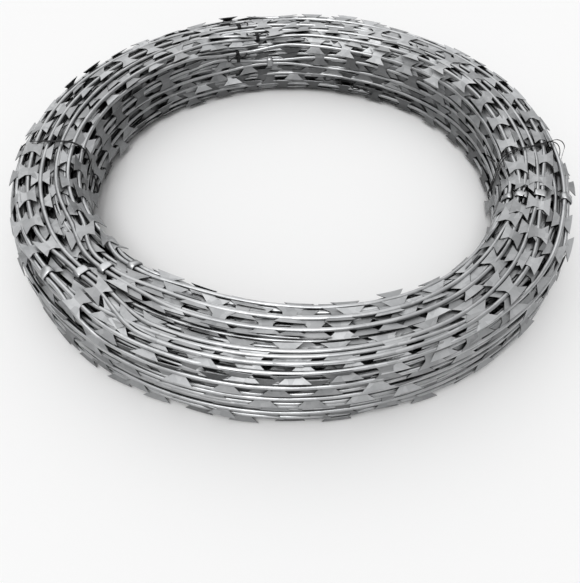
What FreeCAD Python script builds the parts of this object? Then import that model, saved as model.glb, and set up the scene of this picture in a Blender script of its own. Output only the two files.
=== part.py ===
import FreeCAD
import Part
import math
import os

# Concertina razor wire, bundled flat as one closed coil. Millimetres, +Z up, the floor at z = 0 and the
# coil's axis on Z.

# The bundle of turns. Its overall sizes include the blades, clips and ties that stand out past the crests.
COIL_OUTER_D = 505.0
BUNDLE_W = 68.0
BUNDLE_H = 71.0
BUNDLE_CORNER_R = 18.5
STAND_OUT = 1.8
TURN_SPACING = 11.7
GROOVE_DEPTH = 3.7

# The barbed tape crimped round the strand: four-pointed blades at a fixed pitch.
BLADE_PITCH = 34.0
BLADE_L = 22.0
BLADE_W = 15.0
BLADE_ROOT_L = 10.0
TAPE_T = 0.5
TAPE_W = 4.0
STRAND_PROUD = 0.3

# Clips folded over two neighbouring turns, at three stations round the coil. A station runs across the top of
# the bundle, from the angle of its outermost clip to that of its innermost.
CLIP_ALONG = 6.5
CLIP_T = 1.3
CLIP_GRIP = 2.2
CLIP_STATION_ANGLES = {
    "clips_right": (-15.5, -22.0),
    "clips_back": (105.0, 99.0),
    "clips_front_left": (218.0, 233.0),
}
CLIPS_PER_STATION = 4

# Soft tie wires drawn round the whole bundle.
TIE_WIRE_D = 1.2
TIE_ANGLES = {"tie_wire_right": -2.0, "tie_wire_left": 180.0}

# A loose piece stands this far off what it lies on.
SEAT_GAP = 0.3

OUTER_R = COIL_OUTER_D / 2
INNER_R = OUTER_R - BUNDLE_W
MID_R = OUTER_R - BUNDLE_W / 2


def rounded_rectangle(x_low, x_high, z_low, z_high, corner_r):
    """Closed wire in the XZ plane, its corners rounded, starting in the middle of its underside."""
    x_mid = (x_low + x_high) / 2
    k = corner_r * (1 - math.sqrt(0.5))

    def at(x, z):
        return FreeCAD.Vector(x, 0, z)

    def corner(start, middle, end):
        return Part.Arc(at(*start), at(*middle), at(*end)).toShape()

    edges = [
        Part.makeLine(at(x_mid, z_low), at(x_high - corner_r, z_low)),
        corner((x_high - corner_r, z_low), (x_high - k, z_low + k), (x_high, z_low + corner_r)),
        Part.makeLine(at(x_high, z_low + corner_r), at(x_high, z_high - corner_r)),
        corner((x_high, z_high - corner_r), (x_high - k, z_high - k), (x_high - corner_r, z_high)),
        Part.makeLine(at(x_high - corner_r, z_high), at(x_low + corner_r, z_high)),
        corner((x_low + corner_r, z_high), (x_low + k, z_high - k), (x_low, z_high - corner_r)),
        Part.makeLine(at(x_low, z_high - corner_r), at(x_low, z_low + corner_r)),
        corner((x_low, z_low + corner_r), (x_low + k, z_low + k), (x_low + corner_r, z_low)),
        Part.makeLine(at(x_low + corner_r, z_low), at(x_mid, z_low)),
    ]
    return Part.Wire(edges)


class Turn:
    """One turn that shows on the bundle: where its crest lies in the section, and which way is outward."""

    def __init__(self, crest, along):
        self.crest = crest
        self.across = along
        self.outward = FreeCAD.Vector(along.z, 0, -along.x)
        self.radius = crest.x


def exposed_turns():
    """The turns that show on the bundle's outline, evenly spaced round it from the middle of the underside."""
    outline = rounded_rectangle(
        INNER_R + STAND_OUT,
        OUTER_R - STAND_OUT,
        0,
        BUNDLE_H - STAND_OUT,
        BUNDLE_CORNER_R,
    )
    count = round(outline.Length / TURN_SPACING)
    crests = outline.discretize(Number=count + 1)[:-1]
    turns = []
    for i, crest in enumerate(crests):
        along = crests[(i + 1) % count].sub(crests[i - 1])
        along.normalize()
        turns.append(Turn(crest, along))
    return turns


def turned_bundle(turns):
    """All the turns as one turned solid with its bore: a crest for each turn that shows, a groove between.

    The first turn, in the middle of the underside, lies on the flat of its tape.
    """
    flat = turns[0].across * (TAPE_W / 2)
    points = [turns[0].crest - flat, turns[0].crest + flat]
    for turn, following in zip(turns, turns[1:] + turns[:1]):
        outward = turn.outward + following.outward
        outward.normalize()
        points.append((turn.crest + following.crest) * 0.5 - outward * GROOVE_DEPTH)
        points.append(following.crest)
    points.pop()
    section = Part.Face(Part.makePolygon(points + points[:1]))
    return section.revolve(FreeCAD.Vector(0, 0, 0), FreeCAD.Vector(0, 0, 1), 360)


def blade(turn):
    """One four-pointed blade across its turn, at angle 0, its outer face a little under the strand's crest."""
    half_l = BLADE_L / 2
    half_w = BLADE_W / 2
    outline = [
        (BLADE_ROOT_L / 2, 0),
        (half_l, half_w),
        (-half_l, half_w),
        (-BLADE_ROOT_L / 2, 0),
        (-half_l, -half_w),
        (half_l, -half_w),
    ]
    base = turn.crest - turn.outward * (STRAND_PROUD + TAPE_T)
    strand = FreeCAD.Vector(0, 1, 0)
    points = [base + strand * along + turn.across * side for along, side in outline]
    return Part.Face(Part.makePolygon(points + points[:1])).extrude(turn.outward * TAPE_T)


def turned_to(shape, degrees):
    """A copy of a shape made at angle 0, swung round the coil's axis."""
    copy = shape.copy()
    copy.rotate(FreeCAD.Vector(0, 0, 0), FreeCAD.Vector(0, 0, 1), degrees)
    return copy


def apart(a, b):
    """Smallest angle between two directions, in degrees."""
    return abs((a - b + 180) % 360 - 180)


def clip_places(top):
    """Every clip: its node, its angle, and the number of the first of its two turns, from the outside inwards."""
    for node, (outermost, innermost) in CLIP_STATION_ANGLES.items():
        for n in range(CLIPS_PER_STATION):
            angle = outermost + (innermost - outermost) * n / (CLIPS_PER_STATION - 1)
            yield node, angle, top - CLIPS_PER_STATION + 2 * n


def blades_on(turns, number, top):
    """The blades of one turn at their pitch, a gap at the left tie wire, and none under a clip or a tie wire."""
    turn = turns[number]
    count = round(2 * math.pi * turn.radius / BLADE_PITCH)
    step = 360 / count
    laid_over = [(angle, TIE_WIRE_D / 2) for angle in TIE_ANGLES.values()]
    for node, angle, first in clip_places(top):
        if first - 1 <= number <= first + 2:
            laid_over.append((angle, CLIP_ALONG / 2))

    def clear(angle):
        return all(
            math.radians(apart(angle, other)) * turn.radius > BLADE_L / 2 + half + SEAT_GAP
            for other, half in laid_over
        )

    angles = [TIE_ANGLES["tie_wire_left"] + (i + 0.5) * step for i in range(count)]
    return [turned_to(blade(turn), angle) for angle in angles if clear(angle)]


def clip(turn, following):
    """A steel clip folded over two neighbouring turns at angle 0, its ends turned down their far sides."""
    outward = turn.outward + following.outward
    outward.normalize()
    slope = GROOVE_DEPTH / (TURN_SPACING / 2)
    far_side = turn.across * -CLIP_GRIP
    near_side = following.across * CLIP_GRIP
    lift = SEAT_GAP
    inner = [
        turn.crest + far_side + outward * (lift - CLIP_GRIP * slope),
        turn.crest + outward * lift,
        following.crest + outward * lift,
        following.crest + near_side + outward * (lift - CLIP_GRIP * slope),
    ]
    outer = [point + outward * CLIP_T for point in inner]
    points = inner + outer[::-1]
    base = Part.Face(Part.makePolygon(points + points[:1]))
    base.translate(FreeCAD.Vector(0, -CLIP_ALONG / 2, 0))
    return base.extrude(FreeCAD.Vector(0, CLIP_ALONG, 0))


def tie_path(turns):
    """Centre line of a tie wire at angle 0: drawn from crest to crest, and kept clear of the floor."""
    stand_off = TIE_WIRE_D / 2 + SEAT_GAP
    points = [turn.crest + turn.outward * stand_off for turn in turns]
    for point in points:
        point.z = max(point.z, stand_off)
    return Part.makePolygon(points + points[:1])


def tie_channel():
    """Room for a tie wire under the bundle at angle 0, where it beds in between the turns and the floor."""
    width = TIE_WIRE_D + 2 * SEAT_GAP
    corner = FreeCAD.Vector(INNER_R, -width / 2, 0)
    return Part.makeBox(BUNDLE_W, width, width, corner)


def wire_loop(path, thickness, sides):
    """A wire of the given thickness along a closed path, mitred where it bends."""
    start = (path.Vertexes[0].Point + path.Vertexes[1].Point) * 0.5
    points = []
    for i in range(sides + 1):
        turn = 2 * math.pi * (i + 0.5) / sides
        reach = thickness / 2 / math.cos(math.pi / sides)
        points.append(start + FreeCAD.Vector(0, reach * math.cos(turn), reach * math.sin(turn)))
    faces = path.makePipeShell([Part.makePolygon(points)], False, False, 1).Faces
    return Part.Solid(Part.Shell(faces))


def nearest_turn(turns, r, z):
    """Index of the exposed turn nearest a place in the section."""
    return min(range(len(turns)), key=lambda i: turns[i].crest.sub(FreeCAD.Vector(r, 0, z)).Length)


def main():
    os.makedirs("parts", exist_ok=True)
    turns = exposed_turns()
    top = nearest_turn(turns, MID_R, BUNDLE_H)
    shoulder = nearest_turn(turns, OUTER_R, BUNDLE_H - BUNDLE_CORNER_R / 2)

    coil = turned_bundle(turns).fuse(blades_on(turns, shoulder, top))
    coil = coil.cut([turned_to(tie_channel(), angle) for angle in TIE_ANGLES.values()])
    coil.exportStep("parts/razor_wire_coil.step")

    clips = {node: [] for node in CLIP_STATION_ANGLES}
    for node, angle, first in clip_places(top):
        clips[node].append(turned_to(clip(turns[first], turns[first + 1]), angle))
    for node, shapes in clips.items():
        Part.makeCompound(shapes).exportStep(f"parts/{node}.step")

    tie = wire_loop(tie_path(turns), TIE_WIRE_D, 6)
    for node, angle in TIE_ANGLES.items():
        turned_to(tie, angle).exportStep(f"parts/{node}.step")


main()
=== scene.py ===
import math
import random

import bpy
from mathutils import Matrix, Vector


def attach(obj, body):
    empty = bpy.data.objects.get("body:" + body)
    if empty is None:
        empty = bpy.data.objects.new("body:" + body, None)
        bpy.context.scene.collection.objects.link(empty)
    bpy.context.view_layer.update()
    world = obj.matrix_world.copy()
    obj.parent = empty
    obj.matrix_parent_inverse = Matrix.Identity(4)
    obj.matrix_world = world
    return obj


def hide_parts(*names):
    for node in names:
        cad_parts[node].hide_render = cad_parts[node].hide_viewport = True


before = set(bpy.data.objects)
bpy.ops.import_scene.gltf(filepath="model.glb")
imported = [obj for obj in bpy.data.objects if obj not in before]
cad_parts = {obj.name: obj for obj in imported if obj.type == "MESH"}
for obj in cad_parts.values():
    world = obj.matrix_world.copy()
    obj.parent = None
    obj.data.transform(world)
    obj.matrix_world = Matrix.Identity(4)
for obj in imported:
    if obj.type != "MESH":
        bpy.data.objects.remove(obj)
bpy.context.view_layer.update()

# Concertina razor wire, bundled flat as a closed coil. Metres, +Z up, the floor at z = 0 and the coil's axis
# on Z.
MM = 0.001
FRONT = math.radians(270)
BACK = math.radians(90)

# Strands keep this far off each other and off the floor.
CLEARANCE = 0.1 * MM

# The section through the bundle. The outermost strands' centres lie on a rounded rectangle.
SECTION_INNER_R = 187.6 * MM
SECTION_OUTER_R = 245.2 * MM
SECTION_LOW = 2.05 * MM
SECTION_HIGH = 67.6 * MM
CORNER_OUTER_LOW = 9.0 * MM
CORNER_OUTER_HIGH = 17.0 * MM
CORNER_INNER_HIGH = 14.0 * MM
CORNER_INNER_LOW = 15.0 * MM

# The bundle is slimmer or fuller than that on its inner side at some angles: middle, spread, and share of its
# width.
FULLNESS = (
    (0.0, 75.0, -0.08),
    (38.0, 40.0, -0.08),
    (90.0, 35.0, 0.04),
    (142.0, 35.0, -0.05),
    (250.0, 60.0, 0.19),
    (305.0, 45.0, -0.06),
)

# Its outer side stands out further at some angles: middle, spread, and how far.
BULGES = ((325.0, 45.0, 5.0 * MM), (215.0, 35.0, 2.5 * MM))

# The strand and the four-pointed blades of its tape. A side of a blade has rows of points along the strand:
# how far out each row is, and half its length.
STRAND_R = 1.85 * MM
STRAND_SIDES = 10
STRAND_STEPS = 264
BLADE_PITCH = 34.0 * MM
BLADE_T = 0.5 * MM
BLADE_ROWS = ((0.0 * MM, 5.0 * MM), (2.4 * MM, 5.3 * MM), (7.5 * MM, 11.0 * MM))
BLADE_COLUMNS = (-1.0, -0.5, 0.0, 0.5, 1.0)

# Blades lie over or under their strand: highest, usual and lowest place, and the one at the front.
BLADE_SEAT_HIGHEST = 2.0 * MM
BLADE_SEAT = 0.9 * MM
BLADE_SEAT_LOWEST = -1.6 * MM
BLADE_SEAT_FRONT = -1.0 * MM

# No two blades lie quite alike: the spread of their roll, alone and as a share of their lean, of their pitch,
# and the least and most sag of a side in millimetres.
BLADE_ROLL = math.radians(6)
BLADE_ROLL_BY_LEAN = 0.5
BLADE_PITCHING = 0.04
BLADE_SAG = (-0.6, 1.0)

# How a turn wanders round the coil: along the outline, in depth, the tilt of its blades, and their seat.
TURN_DRIFT = 2.3 * MM
TURN_SINK = 0.7 * MM
TURN_TILT = math.radians(8)
TURN_TWIST = 3.0 * MM
WANDER_WAVES = (1, 2, 3, 5)
WANDER_HEIGHTS = (0.3, 1.0)
SEED = 22

# Nothing reaches past the coil's overall size.
REACH_ACROSS = 252.0 * MM
REACH_R = 257.0 * MM
REACH_TOP = 70.6 * MM

# Layers of turns from the outside in: how many, how deep under the outline, and how loosely they lie.
LAYERS = ((20, 0.3 * MM, 1.0), (26, 4.8 * MM, 1.3), (16, 10.0 * MM, 1.5), (6, 18.0 * MM, 1.6))

# At the back and the front, the turns under the outermost rise this much of the way to them.
UNDER_RISE = 0.6

# How the blades of each outermost turn lean, in degrees: those at the bundle's edges stand off it on one
# side.
LEANS = (0, 0, -8, -18, -14, -12, -14, -22, -16, -5, 0, 3, 8, 14, 8, 6, 14, 16, 8, 0)

# Where turns lie at the front of the coil, by layer and number: place along the outline from the middle of
# the underside, depth under it, and how far to the right of the middle the gap between two blades is centred,
# in millimetres.
FRONT_TURNS = {
    (0, 0): (-4.0, 0.3, 4.0),
    (0, 1): (6.0, 0.3, -9.0),
    (0, 2): (18.0, 1.5, 10.0),
    (0, 3): (33.0, 0.3, -17.0),
    (0, 4): (39.5, 0.0, 2.0),
    (0, 5): (52.0, 0.2, 6.5),
    (0, 6): (58.5, 0.0, -2.0),
    (0, 7): (73.0, 0.0, 8.0),
    (0, 8): (85.0, 0.2, -14.0),
    (0, 9): (91.0, 0.0, -8.0),
    (0, 10): (99.0, 0.0, 15.5),
    (0, 11): (115.0, 0.0, -15.0),
    (0, 12): (124.5, 0.2, -6.5),
    (0, 13): (136.0, 0.0, -10.5),
    (0, 14): (149.0, 0.3, 2.0),
    (0, 15): (160.0, 0.3, 12.0),
    (0, 16): (171.0, 0.3, -4.0),
    (0, 17): (183.0, 0.3, 8.0),
    (0, 18): (195.0, 0.3, -12.0),
    (0, 19): (208.0, 0.3, 1.0),
    (1, 5): (47.5, 0.5, -6.0),
    (1, 10): (95.5, 0.5, 15.0),
    (1, 11): (104.5, 6.5, 3.0),
    (1, 12): (110.0, 5.5, -12.0),
}

# Turns keep to those places this far to each side of the front, and leave them by this far. Their blades come
# out from under the strands sooner.
FRONT_FLAT = math.radians(20)
FRONT_FADE = math.radians(66)
FRONT_SEAT_FADE = math.radians(46)

# Clips fold over two neighbouring outermost turns, and draw them together. Each is given by its angle, its
# place along the outline in millimetres and the number of its first turn, from the outside of the bundle
# inwards.
CLIP_NODES = {
    "clips_right": ((-17.0, 90.0, 7), (-18.3, 113.0, 9), (-20.0, 128.0, 11), (-20.3, 140.0, 13)),
    "clips_back": ((105.3, 110.0, 9), (100.7, 133.0, 11), (108.0, 150.0, 13), (97.0, 162.0, 14)),
    "clips_front_left": ((220.0, 90.0, 7), (225.0, 107.0, 9), (227.5, 119.5, 11), (231.5, 133.0, 13)),
}
CLIP_ALONG = 8.0 * MM
CLIP_T = 1.2 * MM
CLIP_SLACK = 0.4 * MM
CLIP_DRAW = math.radians(19)
CLIP_HOLD = 0.15 * CLIP_DRAW
CLIP_SIDES = 28

# The rings of points round a clip: place along it, as a share of its length, and share of its thickness.
CLIP_RINGS = ((-0.5, 0.0), (-0.5, 0.55), (-0.44, 1.0), (0.44, 1.0), (0.5, 0.55), (0.5, 0.0))

# Of the back ones, these three are bindings of thin wire instead of folded bands.
WIRE_BINDINGS = {"clips_back": (0, 1, 2)}
BINDING_ROUNDS = 3
BINDING_STEPS = 20
BINDING_LENGTH = 5.0 * MM

# Loose ends of thin wire curl away at these places, given by angle and place along the outline.
WIRE_ENDS = {
    "clips_back": ((105.3, 110.0), (100.7, 133.0), (108.0, 150.0)),
    "clips_right": ((-20.0, 126.0),),
    "razor_wire_coil": ((75.0, 180.0), (64.0, 186.0)),
}
WIRE_END_R = 0.62 * MM
WIRE_END_STEPS = 24

# A loose end's length and rise, and the shares of them that the shortest and the longest have.
WIRE_END_LENGTH = 11.0 * MM
WIRE_END_LENGTHS = (0.8, 1.2)
WIRE_END_RISE = 4.5 * MM
WIRE_END_RISES = (0.7, 1.2)

# How far it swings along the turns, off the bundle and aside, in radians.
WIRE_END_ALONG = 2.6
WIRE_END_OVER = 4.2
WIRE_END_ASIDE = 7.0

# Thin wires are round, and none runs in this direction.
WIRE_SIDES = 8
NO_WIRE_RUNS = Vector((0.3, 0.2, 0.93))

# Tie wires drawn round the whole bundle: their angles, slants from inside to outside, and loose loops, which
# are centred at a share of the way round and span another.
TIE_NODES = {"tie_wire_right": -2.0, "tie_wire_left": 180.0}
TIE_SLANTS = {"tie_wire_right": 0.11, "tie_wire_left": 0.0}
TIE_LOOPS = {"tie_wire_right": 6.0 * MM, "tie_wire_left": 0.5 * MM}
TIE_LOOP_AT = 0.32
TIE_LOOP_SPAN = 0.17
TIE_R = 0.42 * MM
TIE_STEPS = 120
TIE_SWAY = 0.8 * MM
TIE_OFF_FLOOR = 0.15 * MM

# Each is doubled. The second wire lies this far round, with this share of the slant.
TIE_APART = 0.006
TIE_SECOND_SLANT = 0.8

# The ends are twisted together: place along the outline, rise over it, and the twist's run inwards, forwards
# and up in millimetres.
TIE_KNOTS = {"tie_wire_right": 152.0 * MM, "tie_wire_left": 88.0 * MM}
TIE_KNOT_RISE = 2.2 * MM
TIE_TAIL = (6.0, 9.0, 0.2)
TIE_TWISTS = 3
TIE_TWIST_STEPS = 10

# The coil's turns rise off the floor over a tie wire, fully within the first angle and not past the second.
TIE_LIFT = 1.3 * MM
TIE_LIFT_OVER = (0.01, 0.09)

# Painted shade darkens the steel deep between the turns: how open a place must be to be dark, and to be
# unshaded.
CREVICE_SHADE_REACH = 11 * MM
CREVICE_SHADE_TONE = 0.12
CREVICE_SHADE_DARK = 0.13
CREVICE_SHADE_FREE = 0.72
CREVICE_SHADE_SAMPLES = 6

# Painted light and shade: the steel is at its full tone where it faces up this much, and darker where it
# faces sideways.
UNSHADED_UP_FACING = 0.8

# The steels: two tones of their crystals and the crystals' size, how much darker one blade or turn may be
# than another, the share of the tone that painted shade leaves where they face sideways, and their finish.
STEELS = {
    "galvanised_strand": {
        "dark": (0.52, 0.53, 0.54),
        "light": (0.8, 0.81, 0.82),
        "crystal": 9 * MM,
        "uneven": 0.15,
        "side_shaded_tone": 0.55,
        "metallic": 1.0,
        "roughness": 0.37,
        "grain": 6 * MM,
        "bump": 0.03,
    },
    "galvanised_tape": {
        "dark": (0.52, 0.53, 0.54),
        "light": (0.78, 0.79, 0.8),
        "crystal": 6 * MM,
        "uneven": 0.35,
        "side_shaded_tone": 0.24,
        "metallic": 1.0,
        "roughness": 0.55,
        "grain": 1.2 * MM,
        "bump": 0.12,
    },
    "galvanised_clip": {
        "dark": (0.6, 0.61, 0.62),
        "light": (0.76, 0.77, 0.78),
        "crystal": 5 * MM,
        "uneven": 0.1,
        "side_shaded_tone": 0.5,
        "metallic": 1.0,
        "roughness": 0.36,
        "grain": 1.2 * MM,
        "bump": 0.1,
    },
    "dull_tie_wire": {
        "dark": (0.01, 0.01, 0.011),
        "light": (0.04, 0.04, 0.042),
        "crystal": 3 * MM,
        "uneven": 0.1,
        "side_shaded_tone": 0.5,
        "metallic": 0.3,
        "roughness": 0.6,
        "grain": 1.2 * MM,
        "bump": 0.2,
    },
}

# Stains as a share of the tone, and where between dark and light the tones begin and end.
STAIN_SHARE = 0.65
STAIN_SCALE = 45.0
STAIN_DETAIL = 4.0
TONE_BEGINS = 0.25
TONE_ENDS = 0.75
GRAIN_DETAIL = 3.0
GRAIN_DEPTH = 0.1 * MM
ROUGHNESS_SPREAD = 0.08

# The floor.
FLOOR_HALF = 6.0
FLOOR_TONE = 0.95
FLOOR_ROUGHNESS = 0.9

# The sky brightens from low to high between two heights, and darkens to the sides, more to the right.
SKY_LOW = 0.86
SKY_HIGH = 1.2
SKY_BRIGHTENS = 0.3
SKY_BRIGHT = 0.6
SKY_SIDES = 0.34
SKY_SIDES_FROM = 0.4
SKY_SHIFT = 0.16

# The sun.
SUN_STRENGTH = 0.85
SUN_BREADTH = 24.0
SUN_FROM = (-0.12, -0.5, 1.0)

# The camera of the photograph.
CAMERA_PLACE = (0.0, -0.4783, 0.4286)
CAMERA_DOWN = 49.9
CAMERA_LENS = 40.0
CAMERA_SENSOR = 36.0

OUTLINE_W = SECTION_OUTER_R - SECTION_INNER_R
OUTLINE_H = SECTION_HIGH - SECTION_LOW
CORNERS = (CORNER_OUTER_LOW, CORNER_OUTER_HIGH, CORNER_INNER_HIGH, CORNER_INNER_LOW)
OUTLINE_LENGTH = 2 * (OUTLINE_W + OUTLINE_H) - (2 - math.pi / 2) * sum(CORNERS)
CORE = ((SECTION_INNER_R + SECTION_OUTER_R) / 2, (SECTION_LOW + SECTION_HIGH) / 2)
CORE_REACH = 30 * MM


def on_outline(along):
    """Place (r, z) on the section's outline and its direction there.

    The outline runs from the middle of the underside outwards, and round.
    """
    along %= OUTLINE_LENGTH
    low_outer, high_outer, high_inner, low_inner = CORNERS
    outer_side = OUTLINE_H - low_outer - high_outer
    top = OUTLINE_W - high_outer - high_inner
    inner_side = OUTLINE_H - high_inner - low_inner
    sides = (
        (CORE[0], SECTION_LOW, 1, 0, OUTLINE_W / 2 - low_outer, low_outer),
        (SECTION_OUTER_R, SECTION_LOW + low_outer, 0, 1, outer_side, high_outer),
        (SECTION_OUTER_R - high_outer, SECTION_HIGH, -1, 0, top, high_inner),
        (SECTION_INNER_R, SECTION_HIGH - high_inner, 0, -1, inner_side, low_inner),
        (SECTION_INNER_R + low_inner, SECTION_LOW, 1, 0, OUTLINE_W / 2, low_inner),
    )
    for r, z, to_r, to_z, length, corner in sides:
        if along <= length:
            return r + to_r * along, z + to_z * along, to_r, to_z
        along -= length
        if along <= corner * math.pi / 2:
            middle_r = r + to_r * length - to_z * corner
            middle_z = z + to_z * length + to_r * corner
            heading = math.atan2(to_z, to_r) + along / corner
            to_r = math.cos(heading)
            to_z = math.sin(heading)
            return middle_r + corner * to_z, middle_z - corner * to_r, to_r, to_z
        along -= corner * math.pi / 2
    return CORE[0], SECTION_LOW, 1, 0


def smooth(t):
    t = max(0.0, min(1.0, t))
    return t * t * (3 - 2 * t)


def nearness(angle, centre, flat, fade):
    """1 within the flat angle of the centre, falling to 0 at the fade angle."""
    off = abs((angle - centre + math.pi) % (2 * math.pi) - math.pi)
    return smooth((fade - off) / (fade - flat))


def swelling(angle, places):
    """What some places round the coil add up to at an angle, each fading out over its spread."""
    return sum(
        size * nearness(angle, math.radians(middle), 0.0, math.radians(spread))
        for middle, spread, size in places
    )


def as_filled(r, angle):
    """A radius in the section, moved as the bundle's fullness and bulges at an angle move it."""
    fullness = 1 + swelling(angle, FULLNESS)
    bulge = swelling(angle, BULGES) * (r - SECTION_INNER_R) / OUTLINE_W
    return SECTION_OUTER_R - (SECTION_OUTER_R - r) * fullness + bulge


def wander(rng, size):
    """A slow closed wandering round the coil, as a function of the angle."""
    waves = [
        (n, rng.uniform(*WANDER_HEIGHTS) * size / n**0.5, rng.uniform(0, 2 * math.pi))
        for n in WANDER_WAVES
    ]
    return lambda angle: sum(high * math.sin(n * angle + shift) for n, high, shift in waves)


class Turn:
    """One closed turn of the wire: where it lies in the section at each angle round the coil."""

    def __init__(self, rng, layer, number, along, depth, loose):
        self.layer = layer
        self.along = along
        self.depth = depth
        self.drift = wander(rng, TURN_DRIFT * loose)
        self.sink = wander(rng, TURN_SINK * loose)
        self.tilt = wander(rng, TURN_TILT)
        self.twist = wander(rng, TURN_TWIST)
        self.lean = math.radians(LEANS[number]) if layer == 0 else 0.0
        self.held = []
        front = FRONT_TURNS.get((layer, number))
        self.front_along = front[0] * MM if front else None
        self.front_depth = front[1] * MM if front else None
        middle = self.section(FRONT)[0]
        self.count = round(2 * math.pi * middle / BLADE_PITCH)
        self.step = 2 * math.pi / self.count
        if front:
            self.first_blade = FRONT + front[2] * MM / middle + self.step / 2
        else:
            self.first_blade = rng.uniform(0, self.step)
        self.blade_rng = random.Random(rng.random())

    def lie(self, angle):
        """Place along the outline and depth under it."""
        along = self.along + self.drift(angle)
        depth = max(0.0, self.depth + self.sink(angle))
        if self.layer > 0:
            raised = sum(nearness(angle, side, FRONT_FLAT, FRONT_FADE) for side in (BACK, FRONT))
            depth *= 1 - UNDER_RISE * raised
        if self.front_along is not None:
            near = nearness(angle, FRONT, FRONT_FLAT, FRONT_FADE)
            along += (self.front_along - along) * near
            depth += (self.front_depth - depth) * near
        for station, target in self.held:
            near = nearness(angle, station, CLIP_HOLD, CLIP_DRAW)
            along += (target - along) * near
            depth -= depth * near
        return along, depth

    def seat(self, angle):
        """How far outward of the strand's centre its blades lie: under it at the front, else on any side."""
        seat = max(BLADE_SEAT_LOWEST, min(BLADE_SEAT_HIGHEST, BLADE_SEAT + self.twist(angle)))
        if self.front_along is not None:
            near = nearness(angle, FRONT, FRONT_FLAT, FRONT_SEAT_FADE)
            seat += (BLADE_SEAT_FRONT - seat) * near
        return seat

    def section(self, angle):
        """(r, z) of the strand's centre and the direction of the outline there."""
        along, depth = self.lie(angle)
        r, z, to_r, to_z = on_outline(along)
        inward = depth / CORE_REACH
        r += (CORE[0] - r) * inward
        z += (CORE[1] - z) * inward
        r = as_filled(r, angle)
        lift = sum(nearness(angle, math.radians(tie), *TIE_LIFT_OVER) for tie in TIE_NODES.values())
        z = max(z, STRAND_R + CLEARANCE + TIE_LIFT * lift)
        return r, z, to_r, to_z

    def at_a_clip(self, angle):
        """Whether a blade centred here would lie under one of the turn's clips."""
        room = (BLADE_ROWS[-1][1] + CLIP_ALONG / 2) / SECTION_OUTER_R
        return any(nearness(angle, station, 0.0, room) > 0 for station, target in self.held)

    def frame(self, angle):
        """The strand's centre, and the directions outward and across it, as vectors."""
        r, z, to_r, to_z = self.section(angle)
        radial = Vector((math.cos(angle), math.sin(angle), 0))
        up = Vector((0, 0, 1))
        return radial * r + up * z, radial * to_z - up * to_r, radial * to_r + up * to_z


def within_reach(point):
    """The point, drawn back inside the coil's overall size."""
    r = math.hypot(point.x, point.y)
    if r > REACH_R:
        point.x *= REACH_R / r
        point.y *= REACH_R / r
    point.x = max(-REACH_ACROSS, min(REACH_ACROSS, point.x))
    point.y = max(-REACH_ACROSS, min(REACH_ACROSS, point.y))
    point.z = max(CLEARANCE, min(REACH_TOP, point.z))
    return point


def ring_faces(rings, sides, closed):
    """Quads between rings of points."""
    faces = []
    count = rings if closed else rings - 1
    for i in range(count):
        a = i * sides
        b = (i + 1) % rings * sides
        for j in range(sides):
            k = (j + 1) % sides
            faces.append((a + j, a + k, b + k, b + j))
    return faces


def joined(shapes):
    """Points and faces of several shapes as one."""
    points = []
    faces = []
    for more, shape in shapes:
        start = len(points)
        points += more
        faces += [tuple(start + k for k in face) for face in shape]
    return points, faces


def strand(turn):
    """Points and faces of a turn's round strand."""
    points = []
    for i in range(STRAND_STEPS):
        centre, outward, across = turn.frame(2 * math.pi * i / STRAND_STEPS)
        for j in range(STRAND_SIDES):
            a = 2 * math.pi * j / STRAND_SIDES
            offset = (outward * math.cos(a) + across * math.sin(a)) * STRAND_R
            points.append(within_reach(centre + offset))
    return points, ring_faces(STRAND_STEPS, STRAND_SIDES, True)


def plate_faces(rows, columns):
    """Faces of a thin plate given as a grid of points, the upper side first and then the lower."""
    lower = rows * columns
    faces = []
    for i in range(rows - 1):
        for j in range(columns - 1):
            a = i * columns + j
            faces.append((a, a + 1, a + columns + 1, a + columns))
            faces.append((lower + a + columns, lower + a + columns + 1, lower + a + 1, lower + a))
    rim = list(range(columns))
    rim += [i * columns + columns - 1 for i in range(1, rows)]
    rim += [(rows - 1) * columns + j for j in range(columns - 2, -1, -1)]
    rim += [i * columns for i in range(rows - 2, 0, -1)]
    for a, b in zip(rim, rim[1:] + rim[:1]):
        faces.append((b, a, lower + a, lower + b))
    return faces


def half_blade(turn, angle, side, roll, pitch, sag, seat):
    """Points of one side of a blade, a thin plate that widens away from the strand to two points."""
    sheets = ([], [])
    for reach, half_length in BLADE_ROWS:
        for column in BLADE_COLUMNS:
            length = column * half_length
            centre, outward, across = turn.frame(angle + length / turn.section(angle)[0])
            flat = across * math.cos(roll) + outward * math.sin(roll)
            face = outward * math.cos(roll) - across * math.sin(roll)
            drop = sag * (reach / BLADE_ROWS[-1][0]) ** 2 + pitch * length
            middle = centre + flat * (side * reach) + face * (seat - drop)
            sheets[0].append(within_reach(middle + face * (BLADE_T / 2)))
            sheets[1].append(within_reach(middle - face * (BLADE_T / 2)))
    return sheets[0] + sheets[1]


def blades(turn):
    """Points and faces of all the blades of a turn."""
    rng = turn.blade_rng
    one = plate_faces(len(BLADE_ROWS), len(BLADE_COLUMNS))
    halves = []
    for i in range(turn.count):
        angle = turn.first_blade + i * turn.step
        if turn.at_a_clip(angle):
            continue
        spread = BLADE_ROLL + abs(turn.lean) * BLADE_ROLL_BY_LEAN
        roll = turn.lean + turn.tilt(angle) + rng.gauss(0, spread)
        pitch = rng.gauss(0, BLADE_PITCHING)
        seat = turn.seat(angle)
        for side in (1, -1):
            sag = rng.uniform(*BLADE_SAG) * MM
            shape = [face[::side] for face in one]
            halves.append((half_blade(turn, angle, side, roll, pitch, sag, seat), shape))
    return joined(halves)


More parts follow.
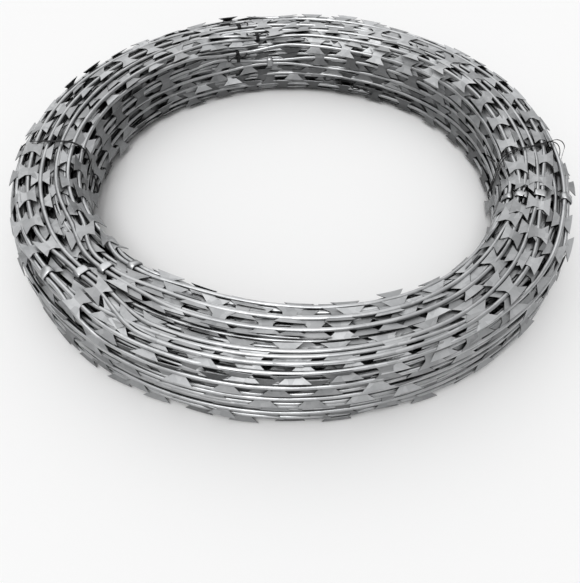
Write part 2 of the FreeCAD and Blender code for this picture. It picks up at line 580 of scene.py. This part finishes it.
def make_object(name, points, faces, material, smooth_faces=0):
    """A mesh object. The first faces are shaded smooth."""
    mesh = bpy.data.meshes.new(name)
    mesh.from_pydata(points, [], faces)
    flags = [i < smooth_faces for i in range(len(faces))]
    mesh.polygons.foreach_set("use_smooth", flags)
    mesh.update()
    mesh.materials.append(material)
    obj = bpy.data.objects.new(name, mesh)
    bpy.context.scene.collection.objects.link(obj)
    return obj


def turns_object(name, turns, strand_material, blade_material):
    """Several turns, strands and blades, as one object."""
    strands = joined(strand(turn) for turn in turns)
    points, faces = joined([strands, *(blades(turn) for turn in turns)])
    strand_count = len(strands[1])
    obj = make_object(name, points, faces, strand_material, strand_count)
    obj.data.materials.append(blade_material)
    slots = [0 if i < strand_count else 1 for i in range(len(faces))]
    obj.data.polygons.foreach_set("material_index", slots)
    return obj


def make_turns():
    """All the turns, layer by layer from the outside in."""
    rng = random.Random(SEED)
    layers = []
    for layer, (count, depth, loose) in enumerate(LAYERS):
        spacing = OUTLINE_LENGTH / count
        first = spacing / 2 if layer % 2 else 0
        turns = []
        for number in range(count):
            turns.append(Turn(rng, layer, number, first + number * spacing, depth, loose))
        layers.append(turns)
    return layers


def stations():
    """Every clip: node, angle, place along the outline, the two turns it holds, and whether it is wire."""
    for node, places in CLIP_NODES.items():
        for number, (degrees, along, first) in enumerate(places):
            is_wire = number in WIRE_BINDINGS.get(node, ())
            yield node, math.radians(degrees), along * MM, (first, first + 1), is_wire


def clips_of(node, wire):
    """Angle and held turns of a node's clips: those of wire, or the folded ones."""
    return [(angle, pair) for name, angle, _, pair, is_wire in stations() if (name, is_wire) == (node, wire)]


def hold_turns(outer):
    """Draws the clipped turns together at their clips."""
    for _, angle, middle, (first, second), _ in stations():
        outer[first].held.append((angle, middle - STRAND_R - CLEARANCE))
        outer[second].held.append((angle, middle + STRAND_R + CLEARANCE))


def clip_points(outer, angle, pair):
    """Points and faces of a clip: a flattened band round two strands, with rounded edges."""
    points = []
    for along, thick in CLIP_RINGS:
        at = angle + along * CLIP_ALONG / SECTION_OUTER_R
        first, outward, _ = outer[pair[0]].frame(at)
        second = outer[pair[1]].frame(at)[0]
        centre = (first + second) / 2
        gap = second - first
        across = gap.normalized()
        reach = STRAND_R + CLIP_SLACK + CLIP_T * thick
        for j in range(CLIP_SIDES):
            a = 2 * math.pi * j / CLIP_SIDES
            halfway = j % (CLIP_SIDES // 2) == CLIP_SIDES // 4
            shift = 0.0 if halfway else math.copysign(gap.length / 2, math.cos(a))
            offset = across * (shift + reach * math.cos(a)) + outward * (reach * math.sin(a))
            points.append(within_reach(centre + offset))
    return points, ring_faces(len(CLIP_RINGS), CLIP_SIDES, True)


def clips_object(node, outer, material):
    """The folded clips of a node as one object."""
    points, faces = joined(clip_points(outer, angle, pair) for angle, pair in clips_of(node, False))
    return make_object(node + "_bands", points, faces, material, len(faces))


def wire_along(path, radius):
    """Points and faces of a round wire along an open path of points, its ends closed."""
    points = []
    for i, point in enumerate(path):
        ahead = path[min(i + 1, len(path) - 1)]
        behind = path[max(i - 1, 0)]
        run = (ahead - behind).normalized()
        side = run.cross(NO_WIRE_RUNS).normalized()
        up = side.cross(run)
        for j in range(WIRE_SIDES):
            a = 2 * math.pi * j / WIRE_SIDES
            points.append(within_reach(point + (side * math.cos(a) + up * math.sin(a)) * radius))
    faces = ring_faces(len(path), WIRE_SIDES, False)
    last = (len(path) - 1) * WIRE_SIDES
    faces.append(tuple(range(WIRE_SIDES))[::-1])
    faces.append(tuple(last + j for j in range(WIRE_SIDES)))
    return points, faces


def tie_path(angle, rng, slant, loop):
    """Once round the bundle near a steady angle, over the strands, with a loose loop on its outer side."""
    sway = wander(rng, TIE_SWAY)
    path = []
    for i in range(TIE_STEPS + 1):
        share = i / TIE_STEPS
        r, z, to_r, to_z = on_outline(OUTLINE_LENGTH * i / TIE_STEPS)
        loose = STRAND_R + BLADE_T + TIE_R + loop * smooth(1 - abs(share - TIE_LOOP_AT) / TIE_LOOP_SPAN)
        r += to_z * loose
        z -= to_r * loose
        r = as_filled(r, angle)
        z = max(z, TIE_R + TIE_OFF_FLOOR)
        outwards = (r - CORE[0]) / OUTLINE_W * z / SECTION_HIGH
        turned = angle + sway(2 * math.pi * share) / r + slant * outwards
        path.append(Vector((r * math.cos(turned), r * math.sin(turned), z)))
    return path


def twist_path(start, end, turns, radius, phase):
    """One of two wires twisted round each other between two places."""
    run = (end - start).normalized()
    side = run.cross(Vector((0, 0, 1))).normalized()
    up = side.cross(run)
    steps = turns * TIE_TWIST_STEPS
    path = []
    for i in range(steps + 1):
        t = i / steps
        a = 2 * math.pi * turns * t + phase
        path.append(start.lerp(end, t) + (side * math.cos(a) + up * math.sin(a)) * radius)
    return path


def binding_path(outer, angle, pair):
    """Thin wire wound round two strands."""
    steps = BINDING_ROUNDS * BINDING_STEPS
    reach = STRAND_R + WIRE_END_R
    path = []
    for i in range(steps + 1):
        at = angle + (i / steps - 0.5) * BINDING_LENGTH / SECTION_OUTER_R
        first, outward, _ = outer[pair[0]].frame(at)
        second = outer[pair[1]].frame(at)[0]
        run = second - first
        a = 2 * math.pi * BINDING_ROUNDS * i / steps
        offset = run.normalized() * (run.length / 2 + reach) * math.cos(a)
        offset += outward * reach * math.sin(a)
        path.append((first + second) / 2 + offset)
    return path


def curl_path(rng, degrees, along, way):
    """A loose end of thin wire that rises from the bundle and curls over, one way or the other."""
    angle = math.radians(degrees)
    r, z, to_r, to_z = on_outline(along)
    r = as_filled(r, angle)
    radial = Vector((math.cos(angle), math.sin(angle), 0))
    up = Vector((0, 0, 1))
    run = Vector((-math.sin(angle), math.cos(angle), 0)) * way
    outward = radial * to_z - up * to_r
    across = radial * to_r + up * to_z
    start = radial * r + up * z + outward * STRAND_R
    length = WIRE_END_LENGTH * rng.uniform(*WIRE_END_LENGTHS)
    rise = WIRE_END_RISE * rng.uniform(*WIRE_END_RISES)
    sway = rng.uniform(0, 2 * math.pi)
    path = []
    for i in range(WIRE_END_STEPS + 1):
        t = i / WIRE_END_STEPS
        forth = length * math.sin(WIRE_END_ALONG * t) * run
        over = rise * math.sin(WIRE_END_OVER * t) * outward
        aside = rise * math.sin(WIRE_END_ASIDE * t + sway) * t * across
        path.append(start + forth + over + aside)
    return path


def wire_ends_object(node, outer, material):
    """The wire bindings of a node's clips, and its loose wire ends."""
    rng = random.Random(node)
    paths = [binding_path(outer, angle, pair) for angle, pair in clips_of(node, True)]
    for degrees, along in WIRE_ENDS[node]:
        for way in (1, -1):
            paths.append(curl_path(rng, degrees, along * MM, way))
    return wires_object(node + "_wire_ends", paths, WIRE_END_R, material)


def wires_object(name, paths, radius, material):
    """Several thin wires as one object."""
    points, faces = joined(wire_along(path, radius) for path in paths)
    return make_object(name, points, faces, material, len(faces))


def tie_object(node, degrees, material):
    """A tie wire, doubled round the bundle, and the twist of its ends."""
    rng = random.Random(node)
    angle = math.radians(degrees)
    slant = TIE_SLANTS[node]
    paths = [
        tie_path(angle, rng, slant, TIE_LOOPS[node]),
        tie_path(angle + TIE_APART, rng, slant * TIE_SECOND_SLANT, 0.0),
    ]
    r, z, _, _ = on_outline(TIE_KNOTS[node])
    knot = Vector((r * math.cos(angle), r * math.sin(angle), z + TIE_KNOT_RISE))
    inwards, forwards, rise = TIE_TAIL
    tail = knot + Vector((-inwards * math.cos(angle), forwards, rise)) * MM
    for phase in (0, math.pi):
        paths.append(twist_path(knot, tail, TIE_TWISTS, TIE_R, phase))
    return wires_object(node + "_wires", paths, TIE_R, material)


def product(nodes, links, a, b):
    """The product of two values of a node tree."""
    node = nodes.new("ShaderNodeMath")
    node.operation = "MULTIPLY"
    links.new(a, node.inputs[0])
    links.new(b, node.inputs[1])
    return node.outputs["Value"]


def mapped(nodes, links, value, start, end, interpolation="LINEAR"):
    """A value of a node tree, mapped from one range to another: each end of it, from and to."""
    node = nodes.new("ShaderNodeMapRange")
    node.interpolation_type = interpolation
    node.inputs["From Min"].default_value = start[0]
    node.inputs["From Max"].default_value = end[0]
    node.inputs["To Min"].default_value = start[1]
    node.inputs["To Max"].default_value = end[1]
    links.new(value, node.inputs["Value"])
    return node.outputs["Result"]


def steel(name):
    """One of the steels: crystals of slightly different tone, faint streaks and a fine grain, with painted
    shade deep between the turns and where it faces sideways.
    """
    look = STEELS[name]
    material = bpy.data.materials.new(name)
    material.use_nodes = True
    nodes = material.node_tree.nodes
    links = material.node_tree.links
    shader = nodes["Principled BSDF"]
    shader.inputs["Metallic"].default_value = look["metallic"]
    place = nodes.new("ShaderNodeTexCoord").outputs["Object"]

    spangle = nodes.new("ShaderNodeTexVoronoi")
    spangle.inputs["Scale"].default_value = 1 / look["crystal"]
    links.new(place, spangle.inputs["Vector"])
    stain = nodes.new("ShaderNodeTexNoise")
    stain.inputs["Scale"].default_value = STAIN_SCALE
    stain.inputs["Detail"].default_value = STAIN_DETAIL
    links.new(place, stain.inputs["Vector"])
    grain = nodes.new("ShaderNodeTexNoise")
    grain.inputs["Scale"].default_value = 1 / look["grain"]
    grain.inputs["Detail"].default_value = GRAIN_DETAIL
    links.new(place, grain.inputs["Vector"])

    blend = nodes.new("ShaderNodeMix")
    blend.data_type = "FLOAT"
    blend.inputs["Factor"].default_value = STAIN_SHARE
    links.new(spangle.outputs["Color"], blend.inputs["A"])
    links.new(stain.outputs["Fac"], blend.inputs["B"])
    ramp = nodes.new("ShaderNodeValToRGB")
    ramp.color_ramp.elements[0].position = TONE_BEGINS
    ramp.color_ramp.elements[0].color = (*look["dark"], 1)
    ramp.color_ramp.elements[1].position = TONE_ENDS
    ramp.color_ramp.elements[1].color = (*look["light"], 1)
    links.new(blend.outputs["Result"], ramp.inputs["Fac"])

    # Painted shade: the steel's colour is darkened where little open space is around it, deep between the
    # turns.
    crevice_shade = nodes.new("ShaderNodeAmbientOcclusion")
    crevice_shade.samples = CREVICE_SHADE_SAMPLES
    crevice_shade.inputs["Distance"].default_value = CREVICE_SHADE_REACH
    openness = crevice_shade.outputs["AO"]
    unshaded = mapped(nodes, links, openness, (CREVICE_SHADE_DARK, CREVICE_SHADE_TONE), (CREVICE_SHADE_FREE, 1.0))
    # Painted light and shade: full tone where the surface faces up, darker where it faces sideways.
    surface = nodes.new("ShaderNodeNewGeometry")
    facing = nodes.new("ShaderNodeSeparateXYZ")
    links.new(surface.outputs["Normal"], facing.inputs["Vector"])
    facing_shade = mapped(nodes, links, facing.outputs["Z"], (0.0, look["side_shaded_tone"]), (UNSHADED_UP_FACING, 1.0))
    chance = surface.outputs["Random Per Island"]
    single = mapped(nodes, links, chance, (0.0, 1 - look["uneven"]), (1.0, 1.0))
    darken = nodes.new("ShaderNodeVectorMath")
    darken.operation = "SCALE"
    links.new(ramp.outputs["Color"], darken.inputs[0])
    links.new(product(nodes, links, unshaded, product(nodes, links, facing_shade, single)), darken.inputs["Scale"])
    links.new(darken.outputs["Vector"], shader.inputs["Base Color"])

    smoothest = look["roughness"] - ROUGHNESS_SPREAD
    roughest = look["roughness"] + ROUGHNESS_SPREAD
    rough = mapped(nodes, links, grain.outputs["Fac"], (0.0, smoothest), (1.0, roughest))
    links.new(rough, shader.inputs["Roughness"])
    relief = nodes.new("ShaderNodeBump")
    relief.inputs["Strength"].default_value = look["bump"]
    relief.inputs["Distance"].default_value = GRAIN_DEPTH
    links.new(grain.outputs["Fac"], relief.inputs["Height"])
    links.new(relief.outputs["Normal"], shader.inputs["Normal"])
    return material


def floor_material():
    material = bpy.data.materials.new("pale_floor")
    material.use_nodes = True
    nodes = material.node_tree.nodes
    shader = nodes["Principled BSDF"]
    shader.inputs["Roughness"].default_value = FLOOR_ROUGHNESS
    shader.inputs["Specular IOR Level"].default_value = 0.0
    shader.inputs["Base Color"].default_value = (FLOOR_TONE, FLOOR_TONE, FLOOR_TONE, 1)
    return material


def make_floor():
    half = FLOOR_HALF
    corners = [(-half, -half, 0), (half, -half, 0), (half, half, 0), (-half, half, 0)]
    floor = make_object("floor", corners, [(0, 1, 2, 3)], floor_material())


def make_sun():
    """A broad soft light from above the camera's side."""
    data = bpy.data.lights.new("soft_sun", "SUN")
    data.energy = SUN_STRENGTH
    data.angle = math.radians(SUN_BREADTH)
    light = bpy.data.objects.new("soft_sun", data)
    light.rotation_euler = Vector(SUN_FROM).to_track_quat("Z", "Y").to_euler()
    bpy.context.scene.collection.objects.link(light)


def make_world():
    """A plain sky, brighter overhead and darker to both sides, most to the right."""
    world = bpy.data.worlds.new("sky")
    world.use_nodes = True
    nodes = world.node_tree.nodes
    links = world.node_tree.links
    lit = nodes["Background"]
    lit.inputs["Color"].default_value = (1, 1, 1, 1)
    place = nodes.new("ShaderNodeTexCoord").outputs["Generated"]
    parts = nodes.new("ShaderNodeSeparateXYZ")
    links.new(place, parts.inputs["Vector"])
    low = (SKY_BRIGHTENS, SKY_LOW)
    high = (SKY_BRIGHT, SKY_HIGH)
    sky = mapped(nodes, links, parts.outputs["Z"], low, high, "SMOOTHSTEP")
    shifted = nodes.new("ShaderNodeMath")
    shifted.inputs[1].default_value = SKY_SHIFT
    links.new(parts.outputs["X"], shifted.inputs[0])
    sideways = product(nodes, links, shifted.outputs["Value"], shifted.outputs["Value"])
    sides = mapped(nodes, links, sideways, (0.0, 1.0), (SKY_SIDES_FROM, SKY_SIDES))
    links.new(product(nodes, links, sky, sides), lit.inputs["Strength"])
    bpy.context.scene.world = world


def make_camera():
    data = bpy.data.cameras.new("camera")
    data.lens = CAMERA_LENS
    data.sensor_width = CAMERA_SENSOR
    data.dof.use_dof = False
    camera = bpy.data.objects.new("camera", data)
    camera.location = CAMERA_PLACE
    camera.rotation_euler = (math.radians(90 - CAMERA_DOWN), 0, 0)
    bpy.context.scene.collection.objects.link(camera)
    bpy.context.scene.camera = camera


def join_the_coil(obj, node):
    """Joins a piece to the one rigid body, in the place of a node."""
    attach(obj, "root")
    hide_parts(node)


def main():
    strand_steel = steel("galvanised_strand")
    blade_steel = steel("galvanised_tape")
    clip_steel = steel("galvanised_clip")
    tie_steel = steel("dull_tie_wire")

    layers = make_turns()
    outer = layers[0]
    hold_turns(outer)
    groups = {
        "outer_turns_low": outer[:6] + outer[14:],
        "outer_turns_high": outer[6:14],
        "second_turns_low": layers[1][:13],
        "second_turns_high": layers[1][13:],
        "inner_turns_low": layers[2][:8] + layers[3],
        "inner_turns_high": layers[2][8:],
    }
    for name, turns in groups.items():
        piece = turns_object(name, turns, strand_steel, blade_steel)
        join_the_coil(piece, "razor_wire_coil")
    for node in CLIP_NODES:
        join_the_coil(clips_object(node, outer, clip_steel), node)
    for node in WIRE_ENDS:
        join_the_coil(wire_ends_object(node, outer, tie_steel), node)
    for node, degrees in TIE_NODES.items():
        join_the_coil(tie_object(node, degrees, tie_steel), node)

    make_floor()
    make_world()
    make_sun()
    make_camera()
    bpy.context.scene.view_settings.view_transform = "Standard"


main()
